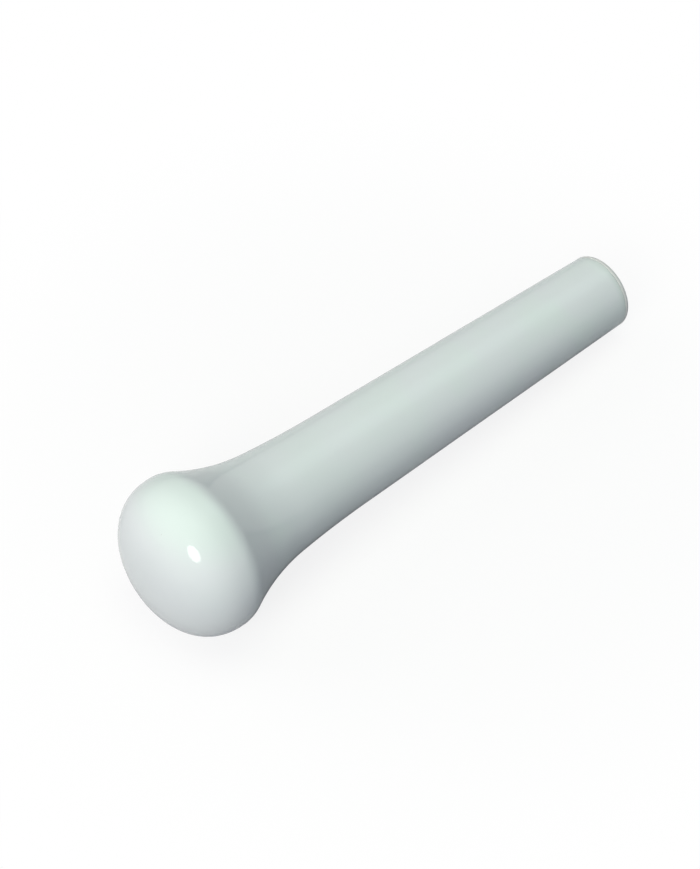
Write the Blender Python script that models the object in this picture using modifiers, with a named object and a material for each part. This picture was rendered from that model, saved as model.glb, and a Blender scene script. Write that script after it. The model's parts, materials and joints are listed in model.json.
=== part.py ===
# A one-piece porcelain pestle, lying on a table on the rim of its head and on the end of its handle.
# It is one fired body of dense porcelain under a thin coat of clear glaze. The glaze covers the
# grinding face, the head and the handle, and stops just short of the handle's end, where the bare
# body stood on the kiln shelf and is level with the glaze. Metres, +Z up, the long axis near +X,
# the head towards -X.

import math

import bpy

# Sizes of the glazed outside, in metres
LENGTH = 0.134
HEAD_RADIUS = 0.018
FACE_DEPTH = 0.013
RIM_BACK_RADIUS = 0.008
NECK_HOLLOW_RADIUS = 0.048
NECK_EASING_RADIUS = 0.270
HANDLE_END_RADIUS = 0.0088
END_EDGE_RADIUS = 0.0009

# How full the domed face is: 2 gives half an ellipse, and more gives a fuller shoulder at the rim
FACE_FULLNESS = 2.3

# The last part of the neck's turn, where its hollow eases into the handle
NECK_EASING_TURN = math.radians(4.0)

# Radius that the handle gains for each metre towards the head
HANDLE_TAPER = 0.026

# The glaze coat, its rounded lip, and the bare end of the body beyond that lip
GLAZE_THICKNESS = 0.0003
GLAZE_LIP_RADIUS = 0.00012
BARE_END_LENGTH = 0.0012

# Clearance between the glaze coat and the body, under the coat and at its lip
GLAZE_CLEARANCE = 0.0003

# Facets of the turned surfaces: round the axis, and along each stretch of the profile
TURNING_STEPS = 48
FACE_STEPS = 12
RIM_BACK_STEPS = 6
HOLLOW_STEPS = 8
EASING_STEPS = 3
HANDLE_STEPS = 4
LIP_STEPS = 3
END_EDGE_STEPS = 4

# Colours are linear
GLAZE_COLOR = (0.83, 0.90, 0.86, 1.0)
GLAZE_ROUGHNESS = 0.08
PORCELAIN_COLOR = (0.80, 0.79, 0.75, 1.0)
PORCELAIN_ROUGHNESS = 0.60

MERGE_DISTANCE = 0.00001
SHARP_EDGE_ANGLE = math.radians(40.0)


def clear_scene():
    for old in list(bpy.data.objects):
        bpy.data.objects.remove(old, do_unlink=True)


def principled(name, color, roughness, coat):
    material = bpy.data.materials.new(name)
    material.use_nodes = True
    shader = material.node_tree.nodes["Principled BSDF"]
    shader.inputs["Base Color"].default_value = color
    shader.inputs["Roughness"].default_value = roughness
    shader.inputs["Metallic"].default_value = 0.0
    shader.inputs["Coat Weight"].default_value = coat
    return material


# A profile point is (along, radius, slant): the distance from the middle of the grinding face
# towards the handle's end, the distance from the axis, and the angle of the surface's outward
# normal, which is 180 degrees at the middle of the face and 90 degrees on a straight cylinder.


def arc(centre_along, centre_radius, size, first, last, steps):
    """Points round an arc, where the normal turns from the first angle to the last.

    A hollow arc has a negative size: its centre lies outside the pestle, where the normal points.
    """
    points = []
    for step in range(steps + 1):
        slant = first + (last - first) * step / steps
        along = centre_along + size * math.cos(slant)
        radius = centre_radius + size * math.sin(slant)
        points.append((along, radius, slant))
    return points


def grinding_face():
    """The dome, a filled-out half ellipse, from its middle to the head's widest circle."""
    power = 2.0 / FACE_FULLNESS
    points = []
    for step in range(FACE_STEPS + 1):
        turn = 0.5 * math.pi * step / FACE_STEPS
        along = FACE_DEPTH * (1.0 - math.cos(turn) ** power)
        radius = HEAD_RADIUS * math.sin(turn) ** power
        rise = FACE_DEPTH * math.sin(turn) ** (2.0 - power)
        run = HEAD_RADIUS * math.cos(turn) ** (2.0 - power)
        points.append((along, radius, math.atan2(rise, -run)))
    return points


def handle_radius(along):
    return HANDLE_END_RADIUS + HANDLE_TAPER * (LENGTH - along)


def glazed_profile():
    """The outside from the middle of the face to the start of the glaze coat's lip."""
    handle_slant = math.atan2(1.0, HANDLE_TAPER)
    stretch = math.hypot(1.0, HANDLE_TAPER)

    # The hollow's centre lies as far from the centre of the rim's back as both radii together, and
    # far enough out from the handle's straight side to leave room for the wide easing arc, so that
    # back, hollow, easing and handle all meet smoothly.
    back_centre = (FACE_DEPTH, HEAD_RADIUS - RIM_BACK_RADIUS)
    widening = NECK_EASING_RADIUS - NECK_HOLLOW_RADIUS
    stand_off = NECK_HOLLOW_RADIUS + widening * (1.0 - math.cos(NECK_EASING_TURN))
    offset = handle_radius(FACE_DEPTH) + stand_off * stretch - back_centre[1]
    reach = RIM_BACK_RADIUS + NECK_HOLLOW_RADIUS
    discriminant = (reach * stretch) ** 2 - offset**2
    run = (HANDLE_TAPER * offset + math.sqrt(discriminant)) / stretch**2
    hollow_centre = (back_centre[0] + run, back_centre[1] + offset - HANDLE_TAPER * run)
    meeting = math.atan2(hollow_centre[1] - back_centre[1], run)
    easing_start = handle_slant - NECK_EASING_TURN
    easing_centre = (
        hollow_centre[0] + widening * math.cos(easing_start),
        hollow_centre[1] + widening * math.sin(easing_start),
    )

    face = grinding_face()
    back = arc(*back_centre, RIM_BACK_RADIUS, 0.5 * math.pi, meeting, RIM_BACK_STEPS)
    hollow = arc(*hollow_centre, -NECK_HOLLOW_RADIUS, meeting, easing_start, HOLLOW_STEPS)
    easing = arc(*easing_centre, -NECK_EASING_RADIUS, easing_start, handle_slant, EASING_STEPS)

    neck = easing[-1][0]
    lip_start = LENGTH - BARE_END_LENGTH - GLAZE_CLEARANCE - GLAZE_LIP_RADIUS
    handle = []
    for step in range(1, HANDLE_STEPS + 1):
        along = neck + (lip_start - neck) * step / HANDLE_STEPS
        handle.append((along, handle_radius(along), handle_slant))
    return face + back[1:] + hollow[1:] + easing[1:] + handle


def inset(profile, depth):
    """The same profile, moved into the pestle by the depth, square to its surface."""
    return [
        (along - depth * math.cos(slant), radius - depth * math.sin(slant), slant)
        for along, radius, slant in profile
    ]


def glaze_section():
    """Up the inside of the coat, round its lip and back down the outside to the face."""
    outside = glazed_profile()
    inside = inset(outside, GLAZE_THICKNESS)
    lip_along, lip_radius, handle_slant = outside[-1]
    lip_centre = (
        lip_along - GLAZE_LIP_RADIUS * math.cos(handle_slant),
        lip_radius - GLAZE_LIP_RADIUS * math.sin(handle_slant),
    )
    lip = arc(*lip_centre, GLAZE_LIP_RADIUS, handle_slant, 0.0, LIP_STEPS)
    inner_edge = (lip[-1][0], inside[-1][1], 0.0)
    return inside + [inner_edge] + lip[:0:-1] + outside[::-1]


def end_edge():
    """The rounded edge between the handle's side and its end face, from the side to the face."""
    handle_slant = math.atan2(1.0, HANDLE_TAPER)
    along = LENGTH - END_EDGE_RADIUS
    centre_radius = handle_radius(along) - END_EDGE_RADIUS / math.sin(handle_slant)
    return arc(along, centre_radius, END_EDGE_RADIUS, handle_slant, 0.0, END_EDGE_STEPS)


def body_section():
    """From the middle of the end face, over the bare end and its shoulder, then under the glaze."""
    side = inset(glazed_profile(), GLAZE_THICKNESS + GLAZE_CLEARANCE)
    shoulder = LENGTH - BARE_END_LENGTH
    under_glaze = handle_radius(shoulder) - GLAZE_THICKNESS - GLAZE_CLEARANCE
    corners = [(shoulder, handle_radius(shoulder), 0.0), (shoulder, under_glaze, 0.0)]
    return [(LENGTH, 0.0, 0.0)] + end_edge()[::-1] + corners + side[::-1]


def turned(name, section, material, collection, carrier):
    """A section turned round the pestle's axis, which is the new object's own Z axis."""
    # The flats between the corners lie on the true radius, and one of them faces the table
    half_step = math.pi / TURNING_STEPS
    corner = 1.0 / math.cos(half_step)
    outline = bpy.data.meshes.new(name + "_section")
    points = [(radius * corner, 0.0, along) for along, radius, slant in section]
    edges = [(index, index + 1) for index in range(len(points) - 1)]
    outline.from_pydata(points, edges, [])
    piece = bpy.data.objects.new(name, outline)
    collection.objects.link(piece)

    screw = piece.modifiers.new("turning", "SCREW")
    screw.axis = "Z"
    screw.angle = math.tau
    screw.steps = TURNING_STEPS
    screw.render_steps = TURNING_STEPS
    screw.use_merge_vertices = True
    screw.merge_threshold = MERGE_DISTANCE
    bpy.context.view_layer.update()
    evaluated = piece.evaluated_get(bpy.context.evaluated_depsgraph_get())
    mesh = bpy.data.meshes.new_from_object(evaluated)
    piece.modifiers.clear()
    piece.data = mesh
    bpy.data.meshes.remove(outline)

    mesh.name = name
    mesh.shade_smooth()
    mesh.set_sharp_from_angle(angle=SHARP_EDGE_ANGLE)
    mesh.materials.clear()
    mesh.materials.append(material)
    piece.parent = carrier
    piece.rotation_euler = (0.0, 0.0, half_step)
    return piece


def lay_down(carrier):
    """Tips the pestle until the head and the handle's end touch the table, centred above the origin."""
    head = glazed_profile()
    end = end_edge()
    touch_along, touch_radius, slant = end[0]
    tilt = max(
        math.atan2(radius - touch_radius, touch_along - along)
        for along, radius, slant in head
    )
    left = min(
        along * math.cos(tilt) - radius * math.sin(tilt)
        for along, radius, slant in head
    )
    right = max(
        along * math.cos(tilt) + radius * math.sin(tilt)
        for along, radius, slant in end
    )
    drop = touch_along * math.sin(tilt) + touch_radius * math.cos(tilt)
    carrier.rotation_euler = (0.0, 0.5 * math.pi + tilt, 0.0)
    carrier.location = (-0.5 * (left + right), 0.0, drop)


def build():
    clear_scene()
    collection = bpy.data.collections.new("porcelain_pestle")
    bpy.context.scene.collection.children.link(collection)
    carrier = bpy.data.objects.new("pestle_axis", None)
    collection.objects.link(carrier)

    porcelain = principled("fired_porcelain", PORCELAIN_COLOR, PORCELAIN_ROUGHNESS, 0.0)
    glaze = principled("clear_glaze", GLAZE_COLOR, GLAZE_ROUGHNESS, 1.0)
    turned("porcelain_body", body_section(), porcelain, collection, carrier)
    turned("glaze_coat", glaze_section(), glaze, collection, carrier)
    lay_down(carrier)


build()
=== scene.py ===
import json
import math

import bpy
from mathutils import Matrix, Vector


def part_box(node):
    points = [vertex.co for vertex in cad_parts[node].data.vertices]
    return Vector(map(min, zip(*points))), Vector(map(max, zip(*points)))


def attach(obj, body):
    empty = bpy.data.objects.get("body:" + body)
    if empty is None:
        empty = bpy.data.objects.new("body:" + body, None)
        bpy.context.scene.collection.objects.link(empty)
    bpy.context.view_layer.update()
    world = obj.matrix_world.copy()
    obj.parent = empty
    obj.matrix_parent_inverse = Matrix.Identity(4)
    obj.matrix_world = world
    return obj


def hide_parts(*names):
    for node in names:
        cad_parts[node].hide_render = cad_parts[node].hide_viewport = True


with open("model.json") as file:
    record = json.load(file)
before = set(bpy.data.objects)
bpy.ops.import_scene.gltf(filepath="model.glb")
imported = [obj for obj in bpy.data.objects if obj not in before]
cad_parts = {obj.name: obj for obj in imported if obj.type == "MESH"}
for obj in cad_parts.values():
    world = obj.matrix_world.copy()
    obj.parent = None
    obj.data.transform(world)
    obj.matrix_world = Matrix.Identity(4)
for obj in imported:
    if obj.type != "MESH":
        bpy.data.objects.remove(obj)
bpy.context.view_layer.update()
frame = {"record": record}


# The fired body: head and handle in one lump of dense white porcelain, pressed, turned and fired.
# Only its bare end shows, past the glaze line: matt, off-white, with the faint rings of the turning
# tool, and the rounded edge on which the pestle stood in the kiln.

# The outside of the glaze, which the body follows just beneath it, in metres
length = 0.134
head_radius = 0.5 * (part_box("glaze_coat")[1].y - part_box("glaze_coat")[0].y)
face_depth = 0.013
face_fullness = 2.3
rim_back_radius = 0.008
neck_hollow_radius = 0.048
neck_easing_radius = 0.270
neck_easing_turn = math.radians(4.0)
handle_end_radius = 0.0088
handle_taper = 0.026
handle_slant = math.atan2(1.0, handle_taper)
glaze_thickness = 0.0003

# The body's own sizes, and the room it leaves under the glaze
end_edge_radius = 0.0009
bare_end_length = 0.0012
shoulder_edge_radius = 0.00008
glaze_seat = 0.00002

# Steps round the axis, along the face, rim's back, neck and handle, and along the small stretches
turning_steps = 192
covered_steps = (24, 12, 12, 24)
bare_steps = 12
shoulder_edge_steps = 5

# The rings of the tool, and the off-white of the body with its grain and its iron
ring_spacing = 0.0004
ring_relief = 0.000006
body_white = (0.80, 0.82, 0.795, 1.0)
body_shade = (0.77, 0.78, 0.75, 1.0)
grain_grey = (0.70, 0.70, 0.67, 1.0)
bare_iron = (0.22, 0.17, 0.13, 1.0)

# The pestle's own axis, from the middle of its grinding face to the middle of its end face
end_mount = next(one for one in frame["record"]["mounts"] if one["name"] == "handle_end")
end_middle = Vector(end_mount["pos_m"])
axis = Vector(end_mount["axis"]).normalized()
face_middle = end_middle - axis * length
axis_turn = (0.0, math.atan2(axis.x, axis.z), 0.0)


# A section is a line of points (along, radius, slant): the distance from the middle of the face, the
# distance from the axis, and the angle of the outward normal, which is 0 on the end face.
def arc(centre_along, centre_radius, size, first, last, steps):
    """Points round an arc, where the normal turns from first to last. A hollow has a negative size."""
    slants = [first + (last - first) * step / steps for step in range(steps + 1)]
    return [
        (centre_along + size * math.cos(slant), centre_radius + size * math.sin(slant), slant)
        for slant in slants
    ]


def straight(start, end, slant, steps):
    """Points along a straight stretch, without its first one."""
    return [
        (
            start[0] + (end[0] - start[0]) * step / steps,
            start[1] + (end[1] - start[1]) * step / steps,
            slant,
        )
        for step in range(1, steps + 1)
    ]


def inset(line, depth):
    """The same line, moved into the pestle by the depth."""
    return [
        (along - depth * math.cos(slant), radius - depth * math.sin(slant), slant)
        for along, radius, slant in line
    ]


def handle_radius(along):
    return handle_end_radius + handle_taper * (length - along)


def glazed_line(stop, face_steps, back_steps, neck_steps, handle_steps):
    """The outside, from the middle of the domed face over the rim and along the handle to stop."""
    # The dome is half an ellipse, filled out towards the rim
    face = []
    power = 2.0 / face_fullness
    for step in range(face_steps + 1):
        turn = 0.5 * math.pi * step / face_steps
        along = face_depth * (1.0 - math.cos(turn) ** power)
        radius = head_radius * math.sin(turn) ** power
        rise = face_depth * math.sin(turn) ** (2.0 - power)
        run = head_radius * math.cos(turn) ** (2.0 - power)
        face.append((along, radius, math.atan2(rise, -run)))

    # The hollow runs smoothly out of the rim's back, and its easing into the handle's straight side
    stretch = math.hypot(1.0, handle_taper)
    widening = neck_easing_radius - neck_hollow_radius
    back_centre = (face_depth, head_radius - rim_back_radius)
    stand_off = widening * (1.0 - math.cos(neck_easing_turn))
    reach = rim_back_radius + neck_hollow_radius
    offset = (neck_hollow_radius + stand_off) * stretch + handle_radius(face_depth) - back_centre[1]
    run = handle_taper * offset + math.sqrt((reach * stretch) ** 2 - offset**2)
    run = run / stretch**2
    hollow_centre = (face_depth + run, back_centre[1] + offset - handle_taper * run)
    meeting = math.atan2(hollow_centre[1] - back_centre[1], run)
    easing_start = handle_slant - neck_easing_turn
    easing_centre = (
        hollow_centre[0] + widening * math.cos(easing_start),
        hollow_centre[1] + widening * math.sin(easing_start),
    )
    back = arc(*back_centre, rim_back_radius, 0.5 * math.pi, meeting, back_steps)
    hollow = arc(*hollow_centre, -neck_hollow_radius, meeting, easing_start, neck_steps)
    easing = arc(*easing_centre, -neck_easing_radius, easing_start, handle_slant, neck_steps)
    side = straight(easing[-1], (stop, handle_radius(stop)), handle_slant, handle_steps)
    return face + back[1:] + hollow[1:] + easing[1:] + side


def open_socket(sockets, name):
    return next(one for one in sockets if one.name == name and one.enabled)


def put(tree, kind, settings=None, feeds=None):
    """Adds a node; its inputs are fed by plain values or by other nodes' outputs."""
    made = tree.nodes.new(kind)
    for name, value in (settings or {}).items():
        setattr(made, name, value)
    for name, value in (feeds or {}).items():
        target = made.inputs[name] if isinstance(name, int) else open_socket(made.inputs, name)
        if isinstance(value, bpy.types.NodeSocket):
            tree.links.new(value, target)
        else:
            target.default_value = value
    return made


def calc(tree, operation, *values):
    return put(tree, "ShaderNodeMath", {"operation": operation}, dict(enumerate(values))).outputs[0]


def lathe():
    """Geometry Nodes: turns a section line round Z, leaves it slightly uneven, and finishes it."""
    tree = bpy.data.node_groups.new("turned_on_a_lathe", "GeometryNodeTree")
    sockets = [
        ("Section", "NodeSocketGeometry"),
        ("Turning Steps", "NodeSocketInt"),
        ("Unevenness", "NodeSocketFloat"),
        ("Wave Length", "NodeSocketFloat"),
        ("Edge Wander", "NodeSocketFloat"),
        ("Seed", "NodeSocketInt"),
        ("Place", "NodeSocketVector"),
        ("Turn", "NodeSocketVector"),
        ("Finish", "NodeSocketMaterial"),
    ]
    for name, kind in sockets:
        tree.interface.new_socket(name, in_out="INPUT", socket_type=kind)
    tree.interface.new_socket("Turned", in_out="OUTPUT", socket_type="NodeSocketGeometry")
    given = put(tree, "NodeGroupInput").outputs
    merge_distance = 0.000001
    wander_seed_step = 7.0

    # A grid with a row for each point of the section and a column for each step of the turning
    count = put(tree, "GeometryNodeAttributeDomainSize", feeds={"Geometry": given["Section"]})
    columns = calc(tree, "ADD", given["Turning Steps"], 1.0)
    grid = put(
        tree,
        "GeometryNodeMeshGrid",
        feeds={"Vertices X": count.outputs["Point Count"], "Vertices Y": columns},
    )
    index = put(tree, "GeometryNodeInputIndex").outputs[0]
    row = calc(tree, "FLOOR", calc(tree, "DIVIDE", calc(tree, "ADD", index, 0.5), columns))
    column = calc(tree, "SUBTRACT", index, calc(tree, "MULTIPLY", row, columns))
    share = calc(tree, "DIVIDE", column, given["Turning Steps"])
    angle = calc(tree, "MULTIPLY", share, math.tau)
    cosine = calc(tree, "COSINE", angle)
    sine = calc(tree, "SINE", angle)

    def at_row(value):
        """The three parts of the section's own vector at this row."""
        sample = put(
            tree,
            "GeometryNodeSampleIndex",
            {"data_type": "FLOAT_VECTOR", "domain": "POINT"},
            {"Geometry": given["Section"], "Value": value, "Index": row},
        )
        return put(tree, "ShaderNodeSeparateXYZ", feeds={0: open_socket(sample.outputs, "Value")}).outputs

    def carried(name):
        """A vector that the section carries in an attribute."""
        return put(
            tree,
            "GeometryNodeInputNamedAttribute",
            {"data_type": "FLOAT_VECTOR"},
            {"Name": name},
        ).outputs[0]

    def swung(parts):
        """The section's vector, swung round Z to this column's angle."""
        x = calc(tree, "MULTIPLY", parts[0], cosine)
        y = calc(tree, "MULTIPLY", parts[0], sine)
        return put(tree, "ShaderNodeCombineXYZ", feeds={0: x, 1: y, 2: parts[2]}).outputs[0]

    spot = swung(at_row(put(tree, "GeometryNodeInputPosition").outputs[0]))
    outward = swung(at_row(carried("outward")))
    lip = at_row(carried("lip"))[0]

    def noise(seed_step):
        """Noise from -0.5 to 0.5, even round the axis, with no seam."""
        seed = calc(tree, "ADD", given["Seed"], seed_step)
        scale = calc(tree, "DIVIDE", 1.0, given["Wave Length"])
        cloud = put(
            tree,
            "ShaderNodeTexNoise",
            {"noise_dimensions": "4D"},
            {"Vector": spot, "W": seed, "Scale": scale, "Detail": 1.0},
        )
        return calc(tree, "SUBTRACT", cloud.outputs[0], 0.5)

    # Hollows only, never bumps: the piece stays inside its true outline
    dip = calc(tree, "SUBTRACT", noise(0.0), 0.5)
    sunk = put(
        tree,
        "ShaderNodeVectorMath",
        {"operation": "SCALE"},
        {0: outward, "Scale": calc(tree, "MULTIPLY", dip, given["Unevenness"])},
    ).outputs[0]

    # The glaze's lip wanders along the axis
    wander = calc(tree, "MULTIPLY", noise(wander_seed_step), given["Edge Wander"])
    slid = put(tree, "ShaderNodeCombineXYZ", feeds={2: calc(tree, "MULTIPLY", wander, lip)}).outputs[0]
    shift = put(tree, "ShaderNodeVectorMath", {"operation": "ADD"}, {0: sunk, 1: slid}).outputs[0]
    placed = put(
        tree,
        "GeometryNodeSetPosition",
        feeds={"Geometry": grid.outputs["Mesh"], "Position": spot, "Offset": shift},
    )
    closed = put(
        tree,
        "GeometryNodeMergeByDistance",
        feeds={"Geometry": placed.outputs[0], "Distance": merge_distance},
    )
    laid = put(
        tree,
        "GeometryNodeTransform",
        feeds={"Geometry": closed.outputs[0], "Translation": given["Place"], "Rotation": given["Turn"]},
    )
    smooth = put(tree, "GeometryNodeSetShadeSmooth", feeds={"Geometry": laid.outputs[0]})
    real = put(tree, "GeometryNodeRealizeInstances", feeds={"Geometry": smooth.outputs[0]})
    finished = put(
        tree,
        "GeometryNodeSetMaterial",
        feeds={"Geometry": real.outputs[0], "Material": given["Finish"]},
    )
    put(tree, "NodeGroupOutput", feeds={"Turned": finished.outputs[0]})
    return tree


turning = lathe()


def turned(name, section, sizes, finish):
    """Turns a section, laid along the pestle's axis. Each point ends in its share of a lip's wander."""
    line = bpy.data.meshes.new(name + "_section")
    points = [(radius, 0.0, along) for along, radius, slant, lip in section]
    line.from_pydata(points, [(at, at + 1) for at in range(len(points) - 1)], [])
    outward = line.attributes.new("outward", "FLOAT_VECTOR", "POINT")
    lips = line.attributes.new("lip", "FLOAT_VECTOR", "POINT")
    for at, (along, radius, slant, lip) in enumerate(section):
        outward.data[at].vector = (math.sin(slant), 0.0, math.cos(slant))
        lips.data[at].vector = (lip, 0.0, 0.0)
    piece = bpy.data.objects.new(name, line)
    bpy.context.scene.collection.objects.link(piece)
    work = piece.modifiers.new("turning", "NODES")
    work.node_group = turning
    values = {**sizes, "Place": face_middle, "Turn": axis_turn, "Finish": finish}
    for socket in turning.interface.items_tree:
        if socket.in_out == "INPUT" and socket.name in values:
            work[socket.identifier] = values[socket.name]
    bpy.context.view_layer.update()
    evaluated = piece.evaluated_get(bpy.context.evaluated_depsgraph_get())
    mesh = bpy.data.meshes.new_from_object(evaluated)
    piece.modifiers.clear()
    piece.data = mesh
    bpy.data.meshes.remove(line)
    mesh.name = name
    mesh.materials.clear()
    mesh.materials.append(finish)
    mesh.polygons.foreach_set("material_index", [0] * len(mesh.polygons))
    return piece


def speck_group():
    """Shader group: sparse round specks, such as iron grains in the clay or pinholes in the glaze."""
    group = bpy.data.node_groups.new("kiln_specks", "ShaderNodeTree")
    for name, kind in (
        ("Vector", "NodeSocketVector"),
        ("Cell Size", "NodeSocketFloat"),
        ("Share", "NodeSocketFloat"),
        ("Speck Size", "NodeSocketFloat"),
    ):
        group.interface.new_socket(name, in_out="INPUT", socket_type=kind)
    group.interface.new_socket("Specks", in_out="OUTPUT", socket_type="NodeSocketFloat")
    given = put(group, "NodeGroupInput").outputs
    scale = calc(group, "DIVIDE", 1.0, given["Cell Size"])
    cells = put(group, "ShaderNodeTexVoronoi", feeds={"Vector": given["Vector"], "Scale": scale})
    draw = put(group, "ShaderNodeSeparateColor", feeds={0: cells.outputs["Color"]})
    kept = calc(group, "LESS_THAN", draw.outputs[0], given["Share"])

    # Each is from half to one and a half times the size, and fades over its outer part
    reach = calc(group, "MULTIPLY", given["Speck Size"], calc(group, "ADD", draw.outputs[1], 0.5))
    core = calc(group, "MULTIPLY", reach, 0.6)
    away = calc(group, "MULTIPLY", cells.outputs["Distance"], given["Cell Size"])
    edge = put(
        group,
        "ShaderNodeMapRange",
        {"interpolation_type": "SMOOTHSTEP"},
        {"Value": away, "From Min": core, "From Max": reach, "To Min": 1.0, "To Max": 0.0},
    )
    put(group, "NodeGroupOutput", feeds={"Specks": calc(group, "MULTIPLY", kept, edge.outputs[0])})
    return group


specks = speck_group()


def specked(tree, vector, cell_size, share, speck_size):
    made = put(
        tree,
        "ShaderNodeGroup",
        {"node_tree": specks},
        {"Vector": vector, "Cell Size": cell_size, "Share": share, "Speck Size": speck_size},
    )
    return made.outputs["Specks"]


def own_coordinates(tree):
    """Where a point lies on the pestle: Z runs from the middle of the face to the handle's end."""
    where = put(tree, "ShaderNodeTexCoord").outputs["Object"]
    mapping = put(
        tree,
        "ShaderNodeMapping",
        {"vector_type": "TEXTURE"},
        {"Vector": where, "Location": face_middle, "Rotation": axis_turn},
    )
    return mapping.outputs[0]


def mixed(tree, factor, first, second):
    made = put(
        tree,
        "ShaderNodeMix",
        {"data_type": "RGBA"},
        {"Factor": factor, "A": first, "B": second},
    )
    return open_socket(made.outputs, "Result")


def ramp(tree, value, start, end, low=0.0, high=1.0):
    made = put(
        tree,
        "ShaderNodeMapRange",
        {"interpolation_type": "SMOOTHSTEP"},
        {"Value": value, "From Min": start, "From Max": end, "To Min": low, "To Max": high},
    )
    return made.outputs[0]


def cloudy(tree, vector, patch, detail=2.0, roughness=0.5):
    made = put(
        tree,
        "ShaderNodeTexNoise",
        feeds={"Vector": vector, "Scale": 1.0 / patch, "Detail": detail, "Roughness": roughness},
    )
    return made.outputs[0]


def bare_porcelain():
    """Matt fired porcelain: soft patches, fine grain, grains of iron, and the rings of the tool."""
    material = bpy.data.materials.new("bare_porcelain")
    material.use_nodes = True
    tree = material.node_tree
    shader = tree.nodes["Principled BSDF"]
    own = own_coordinates(tree)
    grain = cloudy(tree, own, patch=0.0002, detail=3.0, roughness=0.7)
    patches = cloudy(tree, own, patch=0.004, detail=3.0)
    color = mixed(tree, ramp(tree, patches, 0.35, 0.65), body_white, body_shade)
    color = mixed(tree, ramp(tree, grain, 0.3, 0.7, 0.0, 0.35), color, grain_grey)
    iron = specked(tree, own, cell_size=0.0012, share=0.35, speck_size=0.00009)
    color = mixed(tree, calc(tree, "MULTIPLY", iron, 0.7), color, bare_iron)
    tree.links.new(color, shader.inputs["Base Color"])
    tree.links.new(ramp(tree, grain, 0.2, 0.8, 0.50, 0.68), shader.inputs["Roughness"])

    # The rings run round the axis on the end face
    parts = put(tree, "ShaderNodeSeparateXYZ", feeds={0: own}).outputs
    squares = [calc(tree, "MULTIPLY", parts[at], parts[at]) for at in (0, 1)]
    out = calc(tree, "SQRT", calc(tree, "ADD", *squares))
    rings = calc(tree, "SINE", calc(tree, "MULTIPLY", out, math.tau / ring_spacing))
    height = calc(tree, "ADD", calc(tree, "MULTIPLY", rings, 0.5), calc(tree, "MULTIPLY", grain, 2.0))
    bump = put(tree, "ShaderNodeBump", feeds={"Strength": 1.0, "Distance": ring_relief, "Height": height})
    tree.links.new(bump.outputs[0], shader.inputs["Normal"])
    shader.inputs["IOR"].default_value = 1.45
    return material


def body_section():
    """From the middle of the end face, over the bare end, down its shoulder and under the glaze."""
    shoulder = length - bare_end_length
    edge_along = length - end_edge_radius
    edge_middle = handle_radius(edge_along) - end_edge_radius / math.sin(handle_slant)
    face = straight((length, 0.0), (length, edge_middle), 0.0, bare_steps)
    edge = arc(edge_along, edge_middle, end_edge_radius, 0.0, handle_slant, bare_steps)
    corner = arc(
        shoulder + shoulder_edge_radius,
        handle_radius(shoulder + shoulder_edge_radius) - shoulder_edge_radius,
        shoulder_edge_radius,
        handle_slant,
        math.pi,
        shoulder_edge_steps,
    )
    side = inset(glazed_line(shoulder, *covered_steps), glaze_thickness + glaze_seat)[::-1]
    line = [(length, 0.0, 0.0)] + face + edge[1:] + corner + side
    return [(along, radius, slant, 0.0) for along, radius, slant in line]


fired_body = turned(
    "fired_body",
    body_section(),
    {
        "Turning Steps": turning_steps,
        "Unevenness": 0.00001,
        "Wave Length": 0.006,
        "Edge Wander": 0.0,
        "Seed": 3,
    },
    bare_porcelain(),
)
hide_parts("porcelain_body")
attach(fired_body, "root")


# The glaze: a clear, glassy coat fused over the white body in the firing. It is greener at its lip
# and pale on the rim, where it ran thin. The upper side of the face carries a painted greenish
# reflection of the light above. Close behind the rim it is darker: painted shade under the rim,
# partly glaze that pooled there. Its soft lip, a little uneven, lies just short of the bare end.

lip_gap = 0.00006
lip_wander = 0.00010
lip_fade = 0.0015
surface_relief = 0.000003
outer_steps = (56, 28, 28, 70)
lip_steps = 10

# Its two shades drift into each other, and the others lie in bands along the pestle
drift_green = (0.775, 0.862, 0.822, 1.0)
drift_white = (0.79, 0.842, 0.836, 1.0)
neck_grey = (0.780, 0.842, 0.826, 1.0)
lip_green = (0.72, 0.80, 0.76, 1.0)
rim_white = (0.81, 0.87, 0.85, 1.0)
# Painted shade close behind the rim, partly the grey of glaze pooled there
pooled_and_painted_shade_grey = (0.715, 0.757, 0.757, 1.0)
# A painted greenish reflection on the face's upper side, and the face's colour below it
painted_reflection_green = (0.765, 0.874, 0.820, 1.0)
face_white = (0.812, 0.856, 0.852, 1.0)
glazed_iron = (0.33, 0.26, 0.20, 1.0)

# Where a band begins and where it ends, each over a stretch, in metres from the middle of the face
neck_band = ((0.020, 0.036), (0.046, 0.085))
rim_band = ((0.006, 0.012), (0.014, 0.020))
# The band of painted shade behind the rim, partly pooled glaze
pooled_and_painted_shade_band = ((0.0130, 0.0163), (0.020, 0.027))
lip_start = (0.1308, 0.1325)
face_end = (0.012, 0.017)

# Where the painted greenish reflection on the face's upper side ends, in metres from the axis, with the
# upper side below zero
painted_reflection_end = (-0.016, -0.009)


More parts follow.
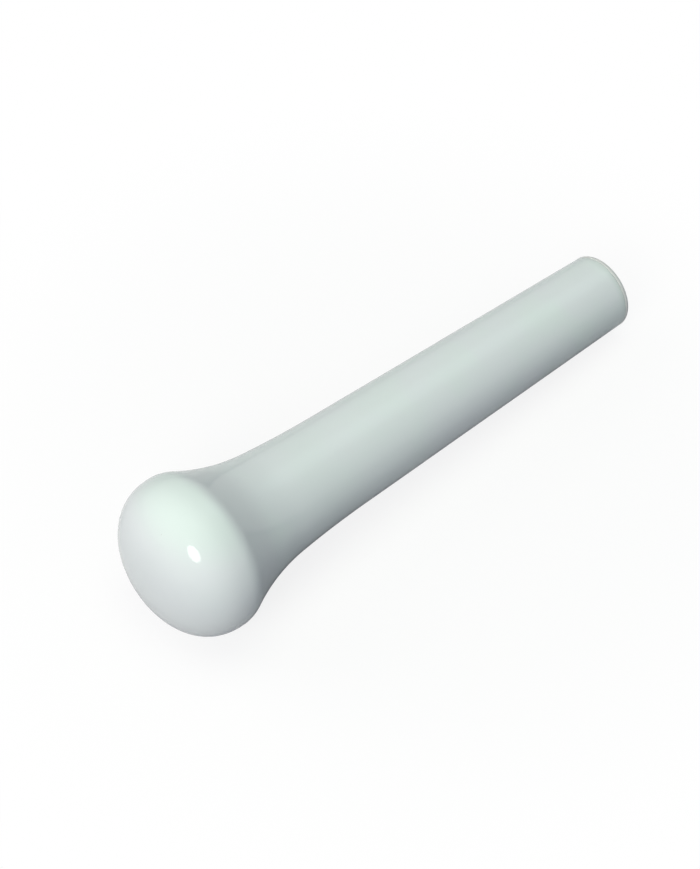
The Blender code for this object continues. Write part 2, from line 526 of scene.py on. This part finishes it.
def glaze_section():
    """Up the inside of the coat, round its lip, and back down the outside to the face."""
    lip_radius = 0.5 * glaze_thickness
    stop = length - bare_end_length - lip_gap - lip_radius
    outside = glazed_line(stop, *outer_steps)
    inside = inset(glazed_line(stop, *covered_steps), glaze_thickness)
    lip = arc(
        stop - lip_radius * math.cos(handle_slant),
        handle_radius(stop) - lip_radius * math.sin(handle_slant),
        lip_radius,
        handle_slant - math.pi,
        handle_slant,
        lip_steps,
    )

    # The lip takes all of the wander, and the glaze before it less and less
    line = [(along, radius, slant, 0.0) for along, radius, slant in inside[:-1]]
    line += [(along, radius, handle_slant, 1.0) for along, radius, slant in lip]
    line += [(along, radius, slant, 0.0) for along, radius, slant in outside[-2::-1]]
    fade_start = stop - lip_fade
    return [
        (along, radius, slant, max(lip, min(1.0, max(0.0, (along - fade_start) / lip_fade))))
        for along, radius, slant, lip in line
    ]


def band(tree, value, begins, ends):
    """1 between the two stretches, over which it rises from 0 and falls back to 0."""
    return calc(tree, "MULTIPLY", ramp(tree, value, *begins), ramp(tree, value, *ends, 1.0, 0.0))


def porcelain_glaze():
    """Glossy glaze, tinted in bands, among them painted shade behind the rim and a painted reflection on the
    face's upper side, with grains of iron under it and pinholes in it.
    """
    material = bpy.data.materials.new("porcelain_glaze")
    material.use_nodes = True
    tree = material.node_tree
    shader = tree.nodes["Principled BSDF"]
    own = own_coordinates(tree)
    across, _, along = put(tree, "ShaderNodeSeparateXYZ", feeds={0: own}).outputs
    drift = cloudy(tree, own, patch=0.016)
    color = mixed(tree, ramp(tree, drift, 0.35, 0.65), drift_green, drift_white)
    # The face's upper side takes a painted greenish reflection of the light above
    face = mixed(tree, ramp(tree, across, *painted_reflection_end), painted_reflection_green, face_white)
    for tint, strength, shown in (
        (neck_grey, 0.6, band(tree, along, *neck_band)),
        (lip_green, 0.8, ramp(tree, along, *lip_start)),
        (rim_white, 0.5, band(tree, along, *rim_band)),
        # Painted shade behind the rim, partly pooled glaze
        (pooled_and_painted_shade_grey, 1.0, band(tree, along, *pooled_and_painted_shade_band)),
        (face, 0.8, ramp(tree, along, *face_end, 1.0, 0.0)),
    ):
        color = mixed(tree, calc(tree, "MULTIPLY", shown, strength), color, tint)
    iron = specked(tree, own, cell_size=0.0045, share=0.30, speck_size=0.00007)
    color = mixed(tree, calc(tree, "MULTIPLY", iron, 0.40), color, glazed_iron)
    tree.links.new(color, shader.inputs["Base Color"])

    gloss = cloudy(tree, own, patch=0.010, detail=3.0)
    tree.links.new(ramp(tree, gloss, 0.3, 0.7, 0.05, 0.09), shader.inputs["Roughness"])
    peel = cloudy(tree, own, patch=0.0016, detail=1.0)
    swell = cloudy(tree, own, patch=0.006, detail=0.0)
    pinholes = specked(tree, own, cell_size=0.0030, share=0.5, speck_size=0.00009)
    height = calc(tree, "ADD", peel, calc(tree, "MULTIPLY", swell, 4.0))
    height = calc(tree, "SUBTRACT", height, calc(tree, "MULTIPLY", pinholes, 6.0))
    bump = put(tree, "ShaderNodeBump", feeds={"Strength": 1.0, "Distance": surface_relief, "Height": height})
    tree.links.new(bump.outputs[0], shader.inputs["Normal"])
    shader.inputs["IOR"].default_value = 1.5
    return material


glossy_glaze = turned(
    "glossy_glaze",
    glaze_section(),
    {
        "Turning Steps": turning_steps,
        "Unevenness": 0.00005,
        "Wave Length": 0.014,
        "Edge Wander": lip_wander,
        "Seed": 11,
    },
    porcelain_glaze(),
)
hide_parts("glaze_coat")
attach(glossy_glaze, "root")


# The table: plain and white, and wide enough for a view from any side. It is white where the camera
# sees it, but for the soft shadow round the pestle, and throws little light back on the pestle. In
# the pestle's own gloss it is darker close under it.

table_size = 8.0
white = (1.0, 1.0, 1.0, 1.0)

# How white it is in the shadow and in the gloss, and how far from the middle the shadow fades out
shadow_white = 0.84
gloss_white = 0.05
shadow_fades = (0.045, 0.12)

# How deep the shade under the pestle shows in the gloss, from the face to the neck and the handle,
# and where along X one changes into the next
contact_reach = 0.05
contact_samples = 8
face_contact = 0.26
neck_contact = 1.0
handle_contact = 0.64
neck_begins = (-0.056, -0.044)
handle_begins = (-0.022, 0.008)

# The colour that throws light back, beside the pestle and past the handle's end
side_bounce = (0.20, 0.20, 0.21, 1.0)
end_bounce = (0.60, 0.60, 0.60, 1.0)
end_begins = (0.068, 0.085)


def table_white():
    material = bpy.data.materials.new("table_white")
    material.use_nodes = True
    tree = material.node_tree
    tree.nodes.clear()
    path = put(tree, "ShaderNodeLightPath").outputs
    mirrored = calc(tree, "MAXIMUM", path["Is Glossy Ray"], path["Is Transmission Ray"])
    seen = calc(tree, "MAXIMUM", path["Is Camera Ray"], mirrored)
    where = put(tree, "ShaderNodeTexCoord").outputs["Object"]
    down = put(tree, "ShaderNodeSeparateXYZ", feeds={0: where}).outputs[0]
    away = put(tree, "ShaderNodeVectorMath", {"operation": "LENGTH"}, {0: where}).outputs["Value"]

    # What the gloss shows is dimmed close under the pestle
    near = put(tree, "ShaderNodeAmbientOcclusion", {"samples": contact_samples}, {"Distance": contact_reach})
    depth = ramp(tree, down, *neck_begins, face_contact, neck_contact)
    easing = ramp(tree, down, *handle_begins, 0.0, neck_contact - handle_contact)
    depth = calc(tree, "MULTIPLY", mirrored, calc(tree, "SUBTRACT", depth, easing))
    dimmed = mixed(tree, depth, white, near.outputs["AO"])

    bounce = mixed(tree, ramp(tree, down, *end_begins), side_bounce, end_bounce)
    lit = put(tree, "ShaderNodeBsdfDiffuse", feeds={"Color": mixed(tree, seen, bounce, dimmed)})
    glow = put(tree, "ShaderNodeEmission", feeds={"Color": white, "Strength": 1.0})
    direct = ramp(tree, away, *shadow_fades, shadow_white, 1.0)
    direct = calc(tree, "MULTIPLY", path["Is Camera Ray"], direct)
    share = calc(tree, "ADD", direct, calc(tree, "MULTIPLY", mirrored, gloss_white))
    blend = put(tree, "ShaderNodeMixShader", feeds={0: share, 1: lit.outputs[0], 2: glow.outputs[0]})
    put(tree, "ShaderNodeOutputMaterial", feeds={"Surface": blend.outputs[0]})
    return material


def table():
    mesh = bpy.data.meshes.new("table")
    half = 0.5 * table_size
    corners = [(-half, -half, 0.0), (half, -half, 0.0), (half, half, 0.0), (-half, half, 0.0)]
    mesh.from_pydata(corners, [], [(0, 1, 2, 3)])
    mesh.materials.append(table_white())
    piece = bpy.data.objects.new("table", mesh)
    bpy.context.scene.collection.objects.link(piece)
    return piece


table()


# The light: a white room, a broad lamp above and one beyond the head. A smaller one before it makes
# the spot on the domed face. A weak one past the handle's end, which fades towards its edge, makes
# the soft streak along the top, and the last lights the handle's far side.


def room_light(strength, color):
    """White where the camera or the gloss sees it, and a weak fill for everything else."""
    world = bpy.data.worlds.new("white_room")
    world.use_nodes = True
    tree = world.node_tree
    tree.nodes.clear()
    path = put(tree, "ShaderNodeLightPath").outputs
    seen = calc(tree, "MAXIMUM", path["Is Camera Ray"], path["Is Glossy Ray"])
    seen = calc(tree, "MAXIMUM", seen, path["Is Transmission Ray"])
    fill = put(tree, "ShaderNodeBackground", feeds={"Color": color, "Strength": strength})
    shown = put(tree, "ShaderNodeBackground", feeds={"Color": white, "Strength": 1.0})
    blend = put(tree, "ShaderNodeMixShader", feeds={0: seen, 1: fill.outputs[0], 2: shown.outputs[0]})
    put(tree, "ShaderNodeOutputWorld", feeds={"Surface": blend.outputs[0]})
    bpy.context.scene.world = world


room_light(0.16, (0.45, 0.55, 1.0, 1.0))


def lamp(name, direction, distance, width, power, color, shown):
    """A soft round lamp, aimed at the pestle from a direction given as (azimuth, height) degrees."""
    azimuth, height = (math.radians(value) for value in direction)
    towards = Vector(
        (math.cos(azimuth) * math.cos(height), math.sin(azimuth) * math.cos(height), math.sin(height))
    )
    light = bpy.data.lights.new(name, "AREA")
    light.shape = "DISK"
    light.size = width
    light.energy = power
    light.color = color
    holder = bpy.data.objects.new(name, light)
    holder.location = towards * distance
    holder.rotation_mode = "QUATERNION"
    holder.rotation_quaternion = towards.to_track_quat("Z", "Y")
    holder.visible_glossy = shown
    bpy.context.scene.collection.objects.link(holder)
    return light


def fade_out(light, start, end):
    """Fades a round lamp towards its edge. Start and end are shares of its width, from its middle."""
    light.use_nodes = True
    tree = light.node_tree
    spot = put(tree, "ShaderNodeNewGeometry").outputs["Parametric"]
    out = put(tree, "ShaderNodeVectorMath", {"operation": "DISTANCE"}, {0: spot, 1: (0.5, 0.5, 0.0)})
    fade = ramp(tree, out.outputs["Value"], start, end, 1.0, 0.0)
    tree.links.new(fade, tree.nodes["Emission"].inputs["Strength"])


# Direction, distance, width, power in watts, colour, and whether the gloss shows the lamp itself
lamp("top_light", (0.0, 88.0), 1.2, 0.9, 5.6, (0.95, 1.0, 0.79), False)
lamp("front_light", (200.6, 31.3), 1.4, 1.0, 8.6, (1.0, 1.0, 0.96), False)
lamp("face_light", (200.6, 31.3), 1.2, 0.42, 2.8, (1.0, 1.0, 0.96), True)
back_light = lamp("back_light", (5.0, 51.5), 1.2, 1.0, 1.45, (0.75, 1.0, 0.92), True)
lamp("side_light", (120.0, 35.0), 1.2, 0.9, 3.2, (1.0, 0.89, 0.89), False)
fade_out(back_light, start=0.15, end=0.5)


# The camera: above the table, on the near side of the head, looking down along the handle. Its place
# and its long lens were fitted to the outline in the photo, together with the pestle's sizes.

aim = Vector((-0.00578, 0.00526, 0.012))
camera_azimuth = math.radians(-42.65)
camera_height = math.radians(50.28)
camera_distance = 0.6465
focal_length = 124.3

lens = bpy.data.cameras.new("camera")
lens.lens = focal_length
camera = bpy.data.objects.new("camera", lens)
looking = Vector(
    (
        -math.sin(camera_azimuth) * math.cos(camera_height),
        math.cos(camera_azimuth) * math.cos(camera_height),
        -math.sin(camera_height),
    )
)
camera.location = aim - looking * camera_distance
camera.rotation_mode = "QUATERNION"
camera.rotation_quaternion = looking.to_track_quat("-Z", "Y")
bpy.context.scene.collection.objects.link(camera)
bpy.context.scene.camera = camera
bpy.context.scene.view_settings.view_transform = "Standard"
